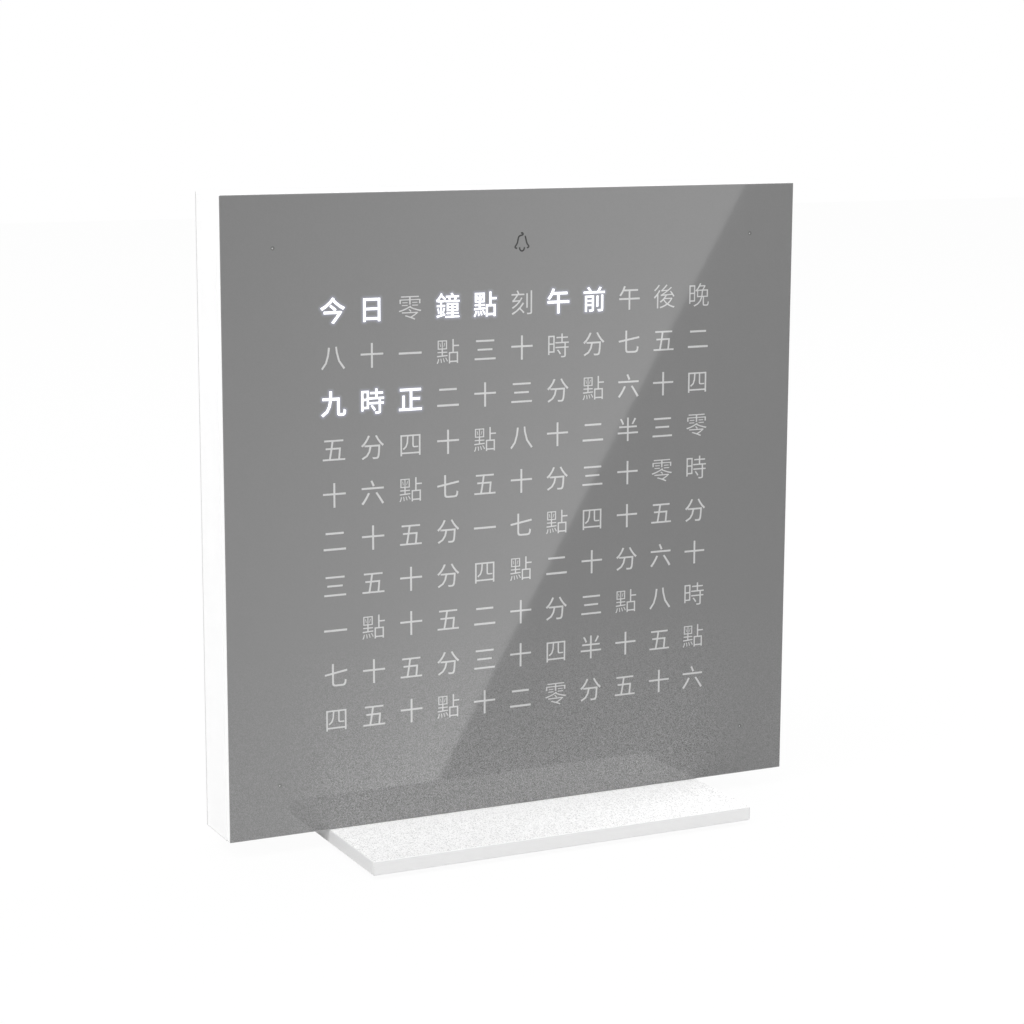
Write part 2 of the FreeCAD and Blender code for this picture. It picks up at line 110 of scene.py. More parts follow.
def seen_directly(tree, *kinds):
    """1 for rays of the named kinds, 0 for all others."""
    rays = tree.nodes.new("ShaderNodeLightPath").outputs
    total = rays[kinds[0]]
    for kind in kinds[1:]:
        total = maths(tree, "MAXIMUM", total, rays[kind])
    return total


def shader_over(tree, share, under, upper):
    """The shader under, with the shader upper laid over it by the share."""
    inputs = {0: share, 1: under.outputs[0], 2: upper.outputs[0]}
    return add_node(tree, "ShaderNodeMixShader", inputs).outputs[0]


def soft_lamp(name, place, target, side, watts):
    """A square lamp that points at the target. It lights the clock but isn't mirrored in it."""
    light = bpy.data.lights.new(name, "AREA")
    light.shape = "SQUARE"
    light.size = side
    light.energy = watts
    lamp = put_in_scene(name, light)
    lamp.location = place
    lamp.rotation_euler = (Vector(target) - Vector(place)).to_track_quat("-Z", "Y").to_euler()
    lamp.visible_camera = False
    lamp.visible_glossy = False


world = bpy.data.worlds.new("white_room")
world.use_nodes = True
bpy.context.scene.world = world
room = world.node_tree
room_light = room.nodes["Background"]
fill(room, room_light, {"Color": grey(1.0), "Strength": 0.71})
room_view = add_node(room, "ShaderNodeBackground", {"Color": grey(1.0), "Strength": 1.0})
seen = seen_directly(room, "Is Camera Ray", "Is Glossy Ray", "Is Transmission Ray")
fill(room, room.nodes["World Output"],
     {"Surface": shader_over(room, seen, room_light, room_view)})
soft_lamp("key_lamp", place=(-0.70, -0.46, 1.44), target=(0, 0, 0.05), side=1.0, watts=18.4)
soft_lamp("side_lamp", place=(0.95, 0.20, 0.75), target=(0, 0, 0.03), side=0.4, watts=4.0)


# ---- Floor ---------------------------------------------------------------------------
# A wide pale sheet under the clock. To the camera it is nearly as bright as the room behind
# it, with the clock's own faint shadow on it.
mm = 0.001
floor_half = 2.0
floor_top = -0.02 * mm
floor_glow = 1.01
floor_glow_share = 0.95


def new_piece(name, corners, faces, finish):
    """A mesh at the origin from corners in metres."""
    mesh = bpy.data.meshes.new(name)
    mesh.from_pydata(corners, [], faces)
    mesh.update()
    mesh.materials.append(finish)
    return put_in_scene(name, mesh)


def empty_material(name):
    """A material with nothing in it but its output: the material, the tree and the output."""
    material = bpy.data.materials.new(name)
    material.use_nodes = True
    tree = material.node_tree
    tree.nodes.remove(tree.nodes["Principled BSDF"])
    return material, tree, tree.nodes["Material Output"]


floor_finish, tree, output = empty_material("floor_paper")
paper = add_node(tree, "ShaderNodeBsdfDiffuse", {"Color": grey(0.65)})
bright = add_node(tree, "ShaderNodeEmission", {"Strength": floor_glow})
share = maths(tree, "MULTIPLY", seen_directly(tree, "Is Camera Ray"), floor_glow_share)
fill(tree, output, {"Surface": shader_over(tree, share, paper, bright)})
floor_corners = [(x * floor_half, y * floor_half, floor_top)
                 for x, y in ((-1, -1), (1, -1), (1, 1), (-1, 1))]
floor = new_piece("floor", floor_corners, [(0, 1, 2, 3)], floor_finish)
floor.visible_glossy = False


# ---- Studio cards --------------------------------------------------------------------
# A softbox and a black flag side by side in front of the clock, 0.6 m from it. The gloss face
# mirrors their slanting common edge as a diagonal. The floor's light reaches the lower part of
# both. They show only in gloss.
card_y = -0.6
edge_low = Vector((0.2470, -0.1807))
edge_high = Vector((0.4150, 0.1049))
along = (edge_high - edge_low).normalized()
leftward = Vector((-along.y, along.x))
edge_bottom = edge_low - along * 0.10
edge_top = edge_low + along * 0.46
softbox_width = leftward * 0.30
flag_width = -leftward * 0.36


def card(name, outline, finish):
    """An upright sheet in the plane of the cards that shows only in gloss."""
    corners = [(p.x, card_y, p.y) for p in outline]
    sheet = new_piece(name, corners, [tuple(range(len(outline)))], finish)
    for rays in ("camera", "diffuse", "transmission", "volume_scatter", "shadow"):
        setattr(sheet, "visible_" + rays, False)


def place_in_piece(tree):
    """Where a point of the surface lies, in metres."""
    return tree.nodes.new("ShaderNodeTexCoord").outputs["Object"]


def graded(tree, value, start, end, low=0.0, high=1.0, **settings):
    """low before start, high after end, and an even run between them."""
    inputs = {"Value": value, "From Min": start, "From Max": end, "To Min": low, "To Max": high}
    return add_node(tree, "ShaderNodeMapRange", inputs, **settings).outputs[0]


def graded_along(tree, direction, *span, **settings):
    """As graded, with the distance along a direction as its value."""
    reach = add_node(tree, "ShaderNodeVectorMath", {0: place_in_piece(tree), 1: direction},
                     operation="DOT_PRODUCT")
    return graded(tree, reach.outputs["Value"], *span, **settings)


def give_off(tree, output, strength):
    """Ends a material in white light of the strength."""
    light = add_node(tree, "ShaderNodeEmission", {"Strength": strength})
    fill(tree, output, {"Surface": light.outputs[0]})


up = (0, 0, 1)
away_from_edge = (leftward.x, 0, leftward.y)
edge_at = edge_low.dot(leftward)
card_foot = -0.19
softbox_finish, tree, output = empty_material("softbox_light")
even = graded_along(tree, away_from_edge, edge_at, edge_at + 0.24, low=1.84, high=0.04)
hot_edge = graded_along(tree, away_from_edge, edge_at, edge_at + 0.07, low=1.0, high=0.0)
hot_foot = graded_along(tree, up, card_foot, 0.10, low=0.58, high=-0.22)
give_off(tree, output, maths(tree, "ADD", even, maths(tree, "MULTIPLY", hot_edge, hot_foot)))
card("softbox", [edge_bottom, edge_top, edge_top + softbox_width, edge_bottom + softbox_width],
     softbox_finish)

flag_finish, tree, output = empty_material("flag_cloth")
lit_by_floor = graded_along(tree, up, card_foot, -0.02, low=0.20, high=0.0,
                            interpolation_type="SMOOTHSTEP")
give_off(tree, output, lit_by_floor)
card("flag", [edge_bottom, edge_bottom + flag_width, edge_top + flag_width, edge_top],
     flag_finish)


# ---- Housing -------------------------------------------------------------------------
# The square frame that holds everything: one moulding in white, with a fine satin texture
# from its mould. It is plain on all four sides. Grey hairlines are painted along its lower
# and rear edges, as the shade of those edges.
def surface(name, colour, roughness, more=None):
    """A material with one principled shader, whose further inputs are given by more. Returns
    the material, tree, shader and place in the piece."""
    material = bpy.data.materials.new(name)
    material.use_nodes = True
    tree = material.node_tree
    shader = tree.nodes["Principled BSDF"]
    fill(tree, shader, {"Base Color": colour, "Roughness": roughness, **(more or {})})
    return material, tree, shader, place_in_piece(tree)


def speckle(tree, place, size, detail=2.0, stretch=(1, 1, 1)):
    """Cloudy noise with grains of the given size in millimetres, drawn out by stretch."""
    scale = [1 / (size * mm * s) for s in stretch]
    drawn = add_node(tree, "ShaderNodeMapping", {"Vector": place, "Scale": scale}).outputs[0]
    inputs = {"Vector": drawn, "Scale": 1.0, "Detail": detail}
    return add_node(tree, "ShaderNodeTexNoise", inputs).outputs[0]


def tinted(tree, factor, dark, light, start=0.35, end=0.65):
    """A colour that runs from dark to light as the factor goes from start to end."""
    ramp = add_node(tree, "ShaderNodeValToRGB", {0: factor})
    for stop, at, colour in zip(ramp.color_ramp.elements, (start, end), (dark, light)):
        stop.position = at
        stop.color = (*colour, 1)
    return ramp.outputs[0]


def gloss(tree, shader, factor, low, high):
    """Roughness that runs from low to high with the factor."""
    roughness = graded(tree, factor, start=0.3, end=0.7, low=low, high=high)
    fill(tree, shader, {"Roughness": roughness})


def relief(tree, shader, height, depth, strength=1.0):
    """Fine relief of the given depth in millimetres."""
    inputs = {"Height": height, "Distance": depth * mm, "Strength": strength}
    fill(tree, shader, {"Normal": add_node(tree, "ShaderNodeBump", inputs).outputs[0]})


def shade(colour, factor):
    """The colour made darker or lighter by a factor."""
    return tuple(channel * factor for channel in colour)


def moulded(name, colour, roughness, grain, depth, cloud=0.02):
    """Moulded plastic: texture from the mould, and a slight cloudiness in its colour."""
    material, tree, shader, place = surface(name, colour, roughness)
    clouds = speckle(tree, place, size=14.0, detail=3.0)
    fill(tree, shader, {"Base Color": tinted(tree, clouds, shade(colour, 1 - cloud), colour)})
    texture = speckle(tree, place, grain)
    gloss(tree, shader, texture, roughness - 0.05, roughness + 0.07)
    relief(tree, shader, texture, depth, strength=0.5)
    return material


def over(tree, share, under, upper):
    """The colour under, with upper laid over it by the share."""
    colour_a, colour_b, colour_result = 6, 7, 2
    mix = add_node(tree, "ShaderNodeMix", {0: share, colour_a: under, colour_b: upper},
                   data_type="RGBA")
    return mix.outputs[colour_result]


def axes_of(tree, place):
    """The place's three distances, as X, Y and Z."""
    return add_node(tree, "ShaderNodeSeparateXYZ", {0: place}).outputs


def hairline(tree, value, edge, steps):
    """1 on a line beside an edge, 0 elsewhere. steps are distances from the edge, in
    millimetres: where the line begins, where it is full, where it fades and where it ends."""
    begin, full, fade, end = [edge + step * mm for step in steps]
    return maths(tree, "MULTIPLY", graded(tree, value, begin, full),
                 graded(tree, value, end, fade))


def dress(node, finish):
    """Gives a node of the frame its finish."""
    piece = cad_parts[node]
    if not piece.material_slots:
        piece.data.materials.append(finish)
    for held in piece.material_slots:
        held.material = finish


edge_shade_grey = grey(0.58)
shade_line_above_floor = (0.005, 0.015, 0.20, 0.26)
shade_line_at_rear = (-0.68, -0.60, -0.015, -0.005)
housing_low, housing_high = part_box("housing")
housing_white = moulded("satin_white_moulding", grey(0.943), roughness=0.34, grain=0.22,
                        depth=0.006)
tree = housing_white.node_tree
base_colour = tree.nodes["Principled BSDF"].inputs["Base Color"]
white = base_colour.links[0].from_socket
axes = axes_of(tree, place_in_piece(tree))
# Painted shade: grey hairlines along the lower edge, just above the floor, and along the rear
# edge.
painted_edge_shade = maths(tree, "MAXIMUM", hairline(tree, axes["Z"], housing_low.z, shade_line_above_floor),
                hairline(tree, axes["Y"], housing_high.y, shade_line_at_rear))
tree.links.new(over(tree, painted_edge_shade, white, edge_shade_grey), base_colour)
dress("housing", housing_white)


# ---- Diffuser sheet ------------------------------------------------------------------
# A thin opal film in the housing's window, behind the front cover. It spreads the light of
# each chamber over its character. It is cut from matt film, so that its surface is even.
def film(name, colour, dark, light, more=None):
    """Matt film with fine fibres: the material, tree, shader and place in the piece."""
    material, tree, shader, place = surface(name, colour, 0.6, more)
    fibre = speckle(tree, place, size=0.5, detail=4.0)
    fill(tree, shader, {"Base Color": tinted(tree, fibre, dark, light)})
    relief(tree, shader, fibre, depth=0.003)
    return material, tree, shader, place


opal = film("opal_film", (0.88, 0.88, 0.86), (0.84, 0.84, 0.83), (0.9, 0.9, 0.89),
            {"Specular IOR Level": 0.4})[0]
dress("diffuser_sheet", opal)


# ---- Light grid ----------------------------------------------------------------------
# The egg-crate moulding that keeps the light of the characters apart: matt white, so that
# little light is lost on the way through its tapered chambers.
dress("light_grid", moulded("matt_white_grid", (0.86, 0.86, 0.85), roughness=0.55, grain=0.3,
                            depth=0.008, cloud=0.04))


# ---- Magnets and steel keepers -------------------------------------------------------
# Four nickel-plated block magnets, pressed into the front of the light grid, and the four
# zinc-plated steel plates bonded to the back of the front cover that they hold.
def plated(name, colour, roughness, grain=0.25, stretch=(1, 1, 1)):
    """Plated or bare metal: cloudy shine with fine marks, drawn out by stretch."""
    material, tree, shader, place = surface(name, colour, roughness, {"Metallic": 1.0})
    marks = speckle(tree, place, grain, 4.0, stretch)
    fill(tree, shader, {"Base Color": tinted(tree, marks, shade(colour, 0.88), colour)})
    gloss(tree, shader, marks, roughness - 0.06, roughness + 0.1)
    relief(tree, shader, marks, depth=0.001, strength=0.6)
    return material


nickel = plated("nickel_plate", (0.70, 0.69, 0.66), roughness=0.22)
zinc_sheet = plated("zinc_plated_sheet", (0.62, 0.62, 0.63), roughness=0.32, grain=0.1,
                    stretch=(1, 1, 24))
dress("magnets", nickel)
dress("cover_keepers", zinc_sheet)


# ---- Circuit board -------------------------------------------------------------------
# Glass-fibre laminate under green solder mask. Copper runs show through the mask as narrow
# paler lines in two directions, the upright ones as far apart as the lamps.
lamp_pitch_across, lamp_pitch_down = 8.68, 9.65
board_mask, tree, shader, place = surface("green_solder_mask", (0.04, 0.19, 0.09), 0.28,
                                          {"Coat Weight": 0.4, "Coat Roughness": 0.12})
flat = add_node(tree, "ShaderNodeMapping", {"Vector": place, "Rotation": (math.radians(90), 0, 0),
                                            "Scale": (1 / mm, 1 / mm, 1 / mm)})
runs = add_node(tree, "ShaderNodeTexBrick", {
    "Vector": flat.outputs[0], "Color1": (0.03, 0.16, 0.075), "Color2": (0.035, 0.175, 0.085),
    "Mortar": (0.07, 0.30, 0.14), "Scale": 1.0, "Mortar Size": 0.28, "Mortar Smooth": 0.1,
    "Brick Width": lamp_pitch_across, "Row Height": 2.4, "Bias": 0.0}, offset=0.35)
fill(tree, shader, {"Base Color": runs.outputs["Color"]})
relief(tree, shader, runs.outputs["Fac"], depth=0.03, strength=0.4)
dress("led_board", board_mask)


# ---- Lamps ---------------------------------------------------------------------------
# One surface-mounted lamp behind each character, dot and symbol: a white moulded case with a
# round pool of yellow phosphor in its middle.
lamp_low, lamp_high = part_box("leds")
lamp_middle = (lamp_low.z + lamp_high.z) / 2
half_step = Vector((lamp_pitch_across, 0, lamp_pitch_down)) * mm / 2
pool_edge = (1.05 * mm, 0.95 * mm)


def from_lamp(tree, place):
    """Distance across the face to the nearest lamp of the character grid."""
    to_first = (0, 0, -lamp_middle - half_step.z)
    first = add_node(tree, "ShaderNodeVectorMath", {0: place, 1: (1, 0, 1), 2: to_first},
                     operation="MULTIPLY_ADD")
    limits = {1: (half_step.x, 1, half_step.z), 2: (-half_step.x, -1, -half_step.z)}
    wrap = add_node(tree, "ShaderNodeVectorMath", {0: first.outputs[0], **limits},
                    operation="WRAP")
    reach = add_node(tree, "ShaderNodeVectorMath", {0: wrap.outputs[0]}, operation="LENGTH")
    return reach.outputs["Value"]


lamp_case, tree, shader, place = surface("lamp_case", (0.88, 0.88, 0.84), 0.35)
speck = speckle(tree, place, size=0.15)
case_white = tinted(tree, speck, (0.84, 0.84, 0.80), (0.90, 0.90, 0.86))
pool = graded(tree, from_lamp(tree, place), *pool_edge)
fill(tree, shader, {"Base Color": over(tree, pool, case_white, (0.80, 0.68, 0.10))})
relief(tree, shader, speck, depth=0.004, strength=0.5)
dress("leds", lamp_case)


# ---- Chips, crystal and clock cell ---------------------------------------------------
# On the back of the board: four lamp drivers and the controller in black resin packages, the
# clock's crystal in its metal can, and a coin cell in a sleeve of spring sheet.
chip_resin = moulded("black_resin", (0.028, 0.028, 0.032), roughness=0.5, grain=0.12,
                     depth=0.004, cloud=0.2)
dress("driver_chips", chip_resin)
dress("controller_chip", chip_resin)
dress("clock_crystal", nickel)
dress("coin_cell", plated("steel_cell_can", (0.66, 0.66, 0.65), roughness=0.24, grain=0.12,
                          stretch=(12, 1, 1)))
dress("cell_clip", plated("spring_sheet", grey(0.58), roughness=0.28, grain=0.08,
                          stretch=(1, 1, 20)))


# ---- Sounder, switches and supply socket ---------------------------------------------
# The alarm's sounder, the three tact switches with their plungers, and the round socket of
# the supply are black mouldings. The socket's centre contact is a turned brass pin.
black_moulding = moulded("black_moulding", (0.026, 0.026, 0.027), roughness=0.42, grain=0.18,
                         depth=0.006, cloud=0.15)
for node in ("sounder", "key_switches", "power_socket",
             "hour_plunger", "minute_plunger", "mode_plunger"):
    dress(node, black_moulding)
brass = plated("turned_brass", (0.72, 0.55, 0.25), roughness=0.25, grain=0.06,
               stretch=(20, 1, 20))
dress("socket_pin", brass)


# ---- Touch strip ---------------------------------------------------------------------
# Rolled copper strip, bonded under the top wall of the housing. A touch on the clock's top
# changes its charge, and that stops the alarm for a while.
dress("touch_strip", plated("rolled_copper", (0.75, 0.42, 0.27), roughness=0.3, grain=0.1,
                            stretch=(24, 1, 1)))


# ---- Buttons -------------------------------------------------------------------------
# Three small round caps on the back, for hour, minute and mode, in pale grey plastic, a
# little smoother than the cover that they stand in.
button_grey = moulded("button_grey", grey(0.74), roughness=0.3, grain=0.15, depth=0.003,
                      cloud=0.03)
for node in ("hour_button", "minute_button", "mode_button"):
    dress(node, button_grey)


# ---- Rear cover ----------------------------------------------------------------------
# A flush white plate that closes the housing. Its mould was spark-eroded, so its surface is
# a little coarser and duller than the housing's sides.
dress("rear_cover", moulded("eroded_white_moulding", grey(0.92), roughness=0.45, grain=0.35,
                            depth=0.012))


# ---- Screws of the rear cover --------------------------------------------------------
# Four small zinc-plated countersunk screws with a cross recess, in the corners of the rear
# cover. Each is turned with a rolled thread, and its recess is pressed in.
def skin(rows, sides, ring=False):
    """The faces round rows of corners: with a flat face at each end, or closed to a ring."""
    total = rows * sides
    faces = [] if ring else [tuple(range(sides)), tuple(reversed(range(total - sides, total)))]
    for row in range(rows if ring else rows - 1):
        for side in range(sides):
            here = row * sides + side
            beside = row * sides + (side + 1) % sides
            faces.append((here, (here + sides) % total, (beside + sides) % total, beside))
    return faces


def screw_blank(name, tip, end, radius, groove, pitch, head, finish):
    """A screw along Y whose head faces +Y, in millimetres, as a closed skin. Its thread runs
    from tip to end, and head gives the (y, radius) steps after it."""
    sides = 36
    steps_a_turn = 5
    tip_radius = 0.55 * radius
    steps = max(2, round((end - tip) / pitch * steps_a_turn))
    rows = [(tip, tip_radius, 0.0)]
    for step in range(1, steps):
        rows.append((tip + (end - tip) * step / steps, radius, groove))
    rows += [(y, r, 0.0) for y, r in [(end, radius), *head]]
    corners = []
    for y, r, cut in rows:
        for side in range(sides):
            turn = side / sides
            wave = abs(2 * ((y / pitch + turn) % 1.0) - 1)
            held = (r - cut * wave) * mm
            angle = 2 * math.pi * turn
            corners.append((held * math.cos(angle), y * mm, held * math.sin(angle)))
    return new_piece(name, corners, skin(len(rows), sides), finish)


def mesh_of(piece):
    """The mesh that a piece's modifiers, curves or text make."""
    bpy.context.view_layer.update()
    graph = bpy.context.evaluated_depsgraph_get()
    return bpy.data.meshes.new_from_object(piece.evaluated_get(graph))


def as_mesh(piece):
    """The piece with its modifiers, or its curves, turned into a plain mesh."""
    name = piece.name
    plain = put_in_scene(name + "_made", mesh_of(piece))
    bpy.data.objects.remove(piece)
    plain.name = name
    return plain


def press_recess(screw, outline, top, floor, narrowing):
    """Presses a tapered recess into the head. outline is a list of (x, z) points."""
    proud_top = top + 0.2
    corners = [(x * mm, proud_top * mm, z * mm) for x, z in outline]
    corners += [(x * narrowing * mm, floor * mm, z * narrowing * mm) for x, z in outline]
    punch = new_piece(screw.name + "_punch", corners, skin(2, len(outline)),
                      screw.data.materials[0])
    cut = screw.modifiers.new("recess", "BOOLEAN")
    cut.operation = "DIFFERENCE"
    cut.solver = "EXACT"
    cut.object = punch
    screw = as_mesh(screw)
    bpy.data.objects.remove(punch)
    return screw


def geometry_tree(name, **kinds):
    """An empty geometry tree with inputs of the named kinds: the tree and its inputs."""
    tree = bpy.data.node_groups.new(name, "GeometryNodeTree")
    for label, kind in kinds.items():
        tree.interface.new_socket(label, in_out="INPUT", socket_type="NodeSocket" + kind)
    tree.interface.new_socket("Made", in_out="OUTPUT", socket_type="NodeSocketGeometry")
    return tree, tree.nodes.new("NodeGroupInput").outputs


def end_tree(tree, made, finish):
    """Ends a geometry tree: what it made becomes real mesh with its finish."""
    real = add_node(tree, "GeometryNodeRealizeInstances", {0: made.outputs[0]})
    finished = add_node(tree, "GeometryNodeSetMaterial",
                        {"Geometry": real.outputs[0], "Material": finish})
    add_node(tree, "NodeGroupOutput", {0: finished.outputs[0]})


def made_by(tree, piece, **sizes):
    """The plain mesh that a geometry tree makes of a piece. sizes are the tree's inputs."""
    modifier = piece.modifiers.new("made", "NODES")
    modifier.node_group = tree
    for item in tree.interface.items_tree:
        if item.in_out == "INPUT" and item.name in sizes:
            modifier[item.identifier] = sizes[item.name]
    return as_mesh(piece)


def smooth(piece, angle=35):
    """Smooth shading with the edges sharper than the angle kept crisp."""
    for face in piece.data.polygons:
        face.use_smooth = True
    piece.data.set_sharp_from_angle(angle=math.radians(angle))


copies_on_grid, given = geometry_tree(
    "copies_on_a_grid", Shape="Geometry", Columns="Int", Rows="Int", Width="Float",
    Height="Float", Middle="Vector", Turn="Vector", Finish="Material")
points = add_node(copies_on_grid, "GeometryNodeMeshGrid", {
    "Size X": given["Width"], "Size Y": given["Height"],
    "Vertices X": given["Columns"], "Vertices Y": given["Rows"]})
moved = add_node(copies_on_grid, "GeometryNodeTransform", {
    "Geometry": points.outputs["Mesh"], "Translation": given["Middle"],
    "Rotation": given["Turn"]})
copied = add_node(copies_on_grid, "GeometryNodeInstanceOnPoints", {
    "Points": moved.outputs[0], "Instance": given["Shape"]})
end_tree(copies_on_grid, copied, given["Finish"])
face_on = (math.radians(90), 0, 0)

screw_zinc = plated("zinc_plated_screw", (0.66, 0.66, 0.67), roughness=0.26, grain=0.12)
screw_low, screw_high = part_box("rear_cover_screws")
head_radius = 1.9
head_top = screw_high.y / mm
blank = screw_blank("rear_screws", tip=screw_low.y / mm, end=head_top - 0.9, radius=1.0,
                    groove=0.22, pitch=0.8, finish=screw_zinc,
                    head=[(head_top - 0.05, head_radius - 0.05), (head_top, head_radius - 0.1)])
arm, slot_half = 1.05, 0.21
cross = [(slot_half, arm), (slot_half, slot_half), (arm, slot_half)]
for quarter in range(3):
    cross += [(z, -x) for x, z in cross[-3:]]
blank = press_recess(blank, cross, top=head_top, floor=head_top - 0.7, narrowing=0.55)
rear_screws = made_by(copies_on_grid, blank, Finish=screw_zinc, Columns=2, Rows=2, Turn=face_on,
                      Width=screw_high.x - screw_low.x - 2 * head_radius * mm,
                      Height=screw_high.z - screw_low.z - 2 * head_radius * mm,
                      Middle=(0, 0, (screw_high.z + screw_low.z) / 2))
smooth(rear_screws)
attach(rear_screws, "clock_body")
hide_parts("rear_cover_screws")
dress("board_screws", screw_zinc)


# ---- Foot plate ----------------------------------------------------------------------
# A flat steel plate, blasted with fine beads and lacquered satin white. The beads' craters
# give its top a fine grain. Its top is painted paler near the body and a little darker toward
# the front left, as painted light and shade. Its edges were milled first. Its chamfer and its
# short ends are painted darker, as shade.
plate_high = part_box("foot_plate")[1]
shaded_chamfer_band = (plate_high.z - 0.24 * mm, plate_high.z - 0.20 * mm)
top_edge = (plate_high.z - 0.03 * mm, plate_high.z - 0.01 * mm)
shaded_end_band = (plate_high.x - 0.34 * mm, plate_high.x - 0.28 * mm)
light_toward_body = (-13 * mm, -8 * mm)
shade_toward_front = (-13 * mm, -28 * mm)
shade_toward_left = (40 * mm, -20 * mm)
blasted, tree, shader, place = surface("blasted_steel", grey(0.93), 0.5,
                                       {"Specular IOR Level": 0.3})
axes = axes_of(tree, place)
beads = speckle(tree, place, size=0.17, detail=1.0, stretch=(1, 2.6, 1))
# Painted light and shade: the top's grain is paler near the body and darker toward the front
# left.
open_grain, lit_grain_near_body, shaded_grain_at_front = [
    tinted(tree, beads, grey(dark), grey(light), start=0.32, end=0.54)
    for dark, light in ((0.62, 1.0), (0.74, 1.0), (0.56, 0.90))]
painted_shade_at_front = maths(tree, "MULTIPLY", graded(tree, axes["Y"], *shade_toward_front),
                 graded(tree, axes["X"], *shade_toward_left))
top_grain_and_painted_light = over(tree, graded(tree, axes["Y"], *light_toward_body), open_grain, lit_grain_near_body)
top_grain_and_painted_light = over(tree, painted_shade_at_front, top_grain_and_painted_light, shaded_grain_at_front)
milled = speckle(tree, place, size=0.2, detail=1.0)
shaded_end_grain = tinted(tree, milled, grey(0.71), grey(0.77))
# Painted shade: the chamfer band and the short ends are darker than the sides.
edges = over(tree, graded(tree, axes["Z"], *shaded_chamfer_band), grey(0.86), grey(0.77))
off_middle = maths(tree, "ABSOLUTE", axes["X"])
edges = over(tree, graded(tree, off_middle, *shaded_end_band), edges, shaded_end_grain)
on_top = graded(tree, axes["Z"], *top_edge)
fill(tree, shader, {"Base Color": over(tree, on_top, edges, top_grain_and_painted_light)})
craters = speckle(tree, place, size=0.23, stretch=(1, 2, 1))
relief(tree, shader, craters, depth=0.02, strength=0.6)
dress("foot_plate", blasted)


# ---- Foot screws and their inserts ---------------------------------------------------
# Two countersunk screws with a hexagon socket come up through the foot plate, into threaded
# brass bushes in the bottom of the housing.
screw_low, screw_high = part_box("foot_screws")
head_radius = 2.8
base = -screw_low.z / mm
blank = screw_blank("foot_plate_screws", tip=-screw_high.z / mm, end=base - 1.5, radius=1.5,
                    groove=0.28, pitch=0.5, finish=screw_zinc,
                    head=[(base - 0.05, head_radius - 0.06), (base, head_radius - 0.12)])
socket_radius = 1.15
hexagon = [(socket_radius * math.cos(math.radians(60 * i)),
            -socket_radius * math.sin(math.radians(60 * i))) for i in range(6)]
blank = press_recess(blank, hexagon, top=base, floor=base - 1.1, narrowing=0.98)
blank.data.transform(turn_about("X", -90))
foot_screws = made_by(copies_on_grid, blank, Finish=screw_zinc, Columns=2, Rows=1,
                      Turn=(0, 0, 0), Height=0.0,
                      Width=screw_high.x - screw_low.x - 2 * head_radius * mm,
                      Middle=(0, (screw_low.y + screw_high.y) / 2, 0))
smooth(foot_screws)
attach(foot_screws, "clock_body")
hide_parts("foot_screws")
dress("foot_inserts", brass)


# ---- Foot pads -----------------------------------------------------------------------
# Four thin self-adhesive rubber squares under the corners of the foot plate, with rounded
# corners and a rounded lower edge, dark grey and matt.
pad_low, pad_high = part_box("foot_pads")
pad_half = 4.0
pad_corner = 0.9
corner_points = 6
pad_rows = [(pad_high.z, 0.0), (0.45 * mm, 0.0), (0.20 * mm, 0.14), (0.06 * mm, 0.34), (0, 0.62)]


def rounded(half_x, half_y, corner, count):
    """The outline of a rectangle with round corners of count points each."""
    points = []
    for quarter, (to_x, to_y) in enumerate(((1, 1), (-1, 1), (-1, -1), (1, -1))):
        for step in range(count):
            angle = math.radians(90) * (quarter + step / (count - 1))
            points.append((to_x * (half_x - corner) + corner * math.cos(angle),
                           to_y * (half_y - corner) + corner * math.sin(angle)))
    return points


pad_corners = []
for z, inset in pad_rows:
    outline = rounded(pad_half - inset, pad_half - inset, pad_corner - inset, corner_points)
    pad_corners += [(x * mm, y * mm, z) for x, y in outline]
rubber = moulded("pad_rubber", grey(0.11), roughness=0.72, grain=0.2, depth=0.01, cloud=0.15)
pad = new_piece("rubber_pads", pad_corners, skin(len(pad_rows), 4 * corner_points), rubber)
pads = made_by(copies_on_grid, pad, Finish=rubber, Columns=2, Rows=2, Turn=(0, 0, 0),
               Middle=(0, 0, 0), Width=pad_high.x - pad_low.x - 2 * pad_half * mm,
               Height=pad_high.y - pad_low.y - 2 * pad_half * mm)
smooth(pads)
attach(pads, "clock_body")
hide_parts("foot_pads")


# ---- Front cover ---------------------------------------------------------------------
# A plate of white acrylic whose front is lacquered in mid grey and then polished. The grey
# ends just behind the broken front edge. Toward the foot a fine glitter of lighter and darker
# specks is painted on the face, as the light that the foot's grainy top throws onto it. A
# grey hairline painted along the plate's lower edge is the shade just above the floor.
cover_low, cover_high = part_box("front_cover")
face_y = cover_low.y
face_middle = (cover_low.z + cover_high.z) / 2
face_grey = grey(0.223)
grey_ends = (face_y + 0.10 * mm, face_y + 0.13 * mm)
glitter_toward_foot = (48 * mm, 12 * mm)
glitter_beside_foot = (44 * mm, 56 * mm)
glitter_share_beside_foot = 0.45


def polished(name, colour, cloud=0.015):
    """The gloss skin of the face over a colour: the material, tree, shader, place and colour."""
    material, tree, shader, place = surface(name, colour, 0.35, {
        "Specular IOR Level": 0.3, "Coat Weight": 1.0, "Coat Roughness": 0.03})
    flecks = speckle(tree, place, size=0.28)
    flecked = tinted(tree, flecks, shade(colour, 1 - cloud), shade(colour, 1 + cloud))
    fill(tree, shader, {"Base Color": flecked})
    return material, tree, shader, place, flecked


lacquer, tree, shader, place, clear_grey = polished("grey_gloss_lacquer", face_grey)
axes = axes_of(tree, place)
off_middle = maths(tree, "ABSOLUTE", axes["X"])
